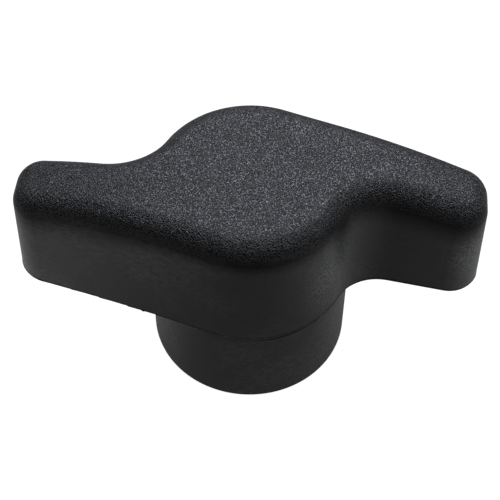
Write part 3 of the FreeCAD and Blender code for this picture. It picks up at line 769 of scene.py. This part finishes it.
def flash_recipe():
    """A bead with a few burrs that follows the outline."""
    tree, given, result = new_recipe("parting_flash", flash_sizes)
    line = add(tree, "GeometryNodeMeshToCurve", {"Mesh": given["Geometry"]})
    even = add(tree, "GeometryNodeResampleCurve", {"Curve": line.outputs[0]}, mode="LENGTH")
    plug(tree, even, {"Length": given["Spacing"]})
    place = add(tree, "GeometryNodeInputPosition").outputs[0]
    rough = add(tree, "ShaderNodeTexNoise", noise_dimensions="4D")
    plug(tree, rough, {"Vector": place, "W": given["Seed"], "Scale": given["Burr size"]})
    burr = ramp(tree, rough.outputs[0], 0.60, 0.68)
    flat = add(tree, "ShaderNodeVectorMath", {0: place, 1: (1, 1, 0)}, operation="MULTIPLY")
    out = add(tree, "ShaderNodeVectorMath", {0: flat.outputs[0]}, operation="LENGTH")
    wing = calc(tree, "GREATER_THAN", out.outputs["Value"], given["Clean radius"])
    burr = calc(tree, "MULTIPLY", burr, wing)
    thick = calc(tree, "MULTIPLY_ADD", burr, given["Burr"], given["Thickness"])
    sized = add(tree, "GeometryNodeSetCurveRadius", {"Curve": even.outputs[0], "Radius": thick})
    section = add(tree, "GeometryNodeCurvePrimitiveCircle", {"Resolution": BEAD_SIDES, "Radius": 1.0})
    bead = add(tree, "GeometryNodeCurveToMesh",
               {"Curve": sized.outputs[0], "Profile Curve": section.outputs[0]})
    if "Scale" in bead.inputs:
        tree.links.new(thick, bead.inputs["Scale"])
    floor_held = add(tree, "ShaderNodeVectorMath", {0: place, 1: given["Low"]}, operation="MAXIMUM")
    held = add(tree, "ShaderNodeVectorMath",
               {0: floor_held.outputs[0], 1: given["High"]}, operation="MINIMUM")
    inside = add(tree, "GeometryNodeSetPosition",
                 {"Geometry": bead.outputs[0], "Position": held.outputs[0]})
    serve(tree, inside.outputs[0], given["Material"], result)
    return tree


flash = make_piece("parting_flash", outline, flash_recipe(), flash_sizes)
face_outwards(flash, 0.001 * MM, math.radians(60))
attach(flash, "root")

# %% [markdown]
# ## Marks of the mould
# Round pins push the warm handle out of its mould, and each leaves a faint
# ring on the face it pushed. They sit on the end face of the collar, where
# they can't be seen in use. One ring is copied to points on a circle.

# %% Place the rings of the ejector pins
END_FACE = handle_low.z
PIN_CIRCLE = 12.75 * MM
pin_sizes = {
    "Pins": 6, "Circle": PIN_CIRCLE, "Pin radius": 0.90 * MM, "Ridge": 0.045 * MM,
    "Height": END_FACE, "Material": plastic,
}
RING_SIDES, RIDGE_SIDES = 28, 6


def pin_recipe():
    """The same fine ring on each point of a circle."""
    tree, given, result = new_recipe("ejector_marks", pin_sizes)
    ring = add(tree, "GeometryNodeCurvePrimitiveCircle",
               {"Resolution": RING_SIDES, "Radius": given["Pin radius"]})
    section = add(tree, "GeometryNodeCurvePrimitiveCircle",
                  {"Resolution": RIDGE_SIDES, "Radius": given["Ridge"]})
    ridge = add(tree, "GeometryNodeCurveToMesh",
                {"Curve": ring.outputs[0], "Profile Curve": section.outputs[0]})
    circle = add(tree, "GeometryNodeMeshCircle",
                 {"Vertices": given["Pins"], "Radius": given["Circle"]})
    copies = add(tree, "GeometryNodeInstanceOnPoints",
                 {"Points": circle.outputs[0], "Instance": ridge.outputs[0]})
    lift = add(tree, "ShaderNodeCombineXYZ", {"Z": given["Height"]})
    placed = add(tree, "GeometryNodeSetPosition",
                 {"Geometry": copies.outputs[0], "Offset": lift.outputs[0]})
    serve(tree, placed.outputs[0], given["Material"], result)
    return tree


pins = make_piece("ejector_marks", bpy.data.meshes.new("no_start"), pin_recipe(), pin_sizes)
face_outwards(pins, 0.001 * MM, math.radians(60))
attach(pins, "root")

# %% [markdown]
# The plastic enters the mould through a gate, and the stub is broken off by
# hand. What is left is a low, uneven button. It is drawn as rings of points
# from the middle to the rim, with noise on their height, and closed inside
# the wall of the handle.

# %% Leave the stub of the gate
GATE_ANGLE = math.radians(75)
GATE_RADIUS = 0.80 * MM
GATE_HEIGHT = 0.16 * MM
GATE_ROUGH = 0.07 * MM
GATE_ROOT = 0.10 * MM
GATE_SIDES, GATE_RINGS = 24, 6
GATE_NOISE = 1 / (0.45 * MM)


def gate_stub():
    """A low button with a torn top, rooted in the end face of the collar."""
    middle = Vector((math.cos(GATE_ANGLE), math.sin(GATE_ANGLE), 0)) * PIN_CIRCLE
    middle.z = END_FACE
    shell = bmesh.new()
    rings = []
    for k in range(1, GATE_RINGS + 2):
        part = min(1.0, k / GATE_RINGS)
        ring = []
        for j in range(GATE_SIDES):
            turn = math.tau * j / GATE_SIDES
            flat = Vector((math.cos(turn), math.sin(turn), 0)) * GATE_RADIUS * part
            drop = GATE_HEIGHT * (1 - part ** 4)
            drop += GATE_ROUGH * noise_3d.noise(flat * GATE_NOISE) * (1 - part)
            flat.z = GATE_ROOT if k > GATE_RINGS else -drop
            ring.append(shell.verts.new(middle + flat))
        rings.append(ring)
    tip = shell.verts.new(middle - Vector((0, 0, GATE_HEIGHT)))
    base = shell.verts.new(middle + Vector((0, 0, GATE_ROOT)))
    for j in range(GATE_SIDES):
        after = (j + 1) % GATE_SIDES
        shell.faces.new((tip, rings[0][j], rings[0][after]))
        shell.faces.new((base, rings[-1][after], rings[-1][j]))
        for inner, outer in zip(rings, rings[1:]):
            shell.faces.new((inner[j], outer[j], outer[after], inner[after]))
    mesh = bpy.data.meshes.new("gate_stub")
    shell.to_mesh(mesh)
    shell.free()
    mesh.materials.append(plastic)
    piece = bpy.data.objects.new("gate_stub", mesh)
    bpy.context.scene.collection.objects.link(piece)
    return piece


stub = gate_stub()
face_outwards(stub, 0.001 * MM, math.radians(50))
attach(stub, "root")
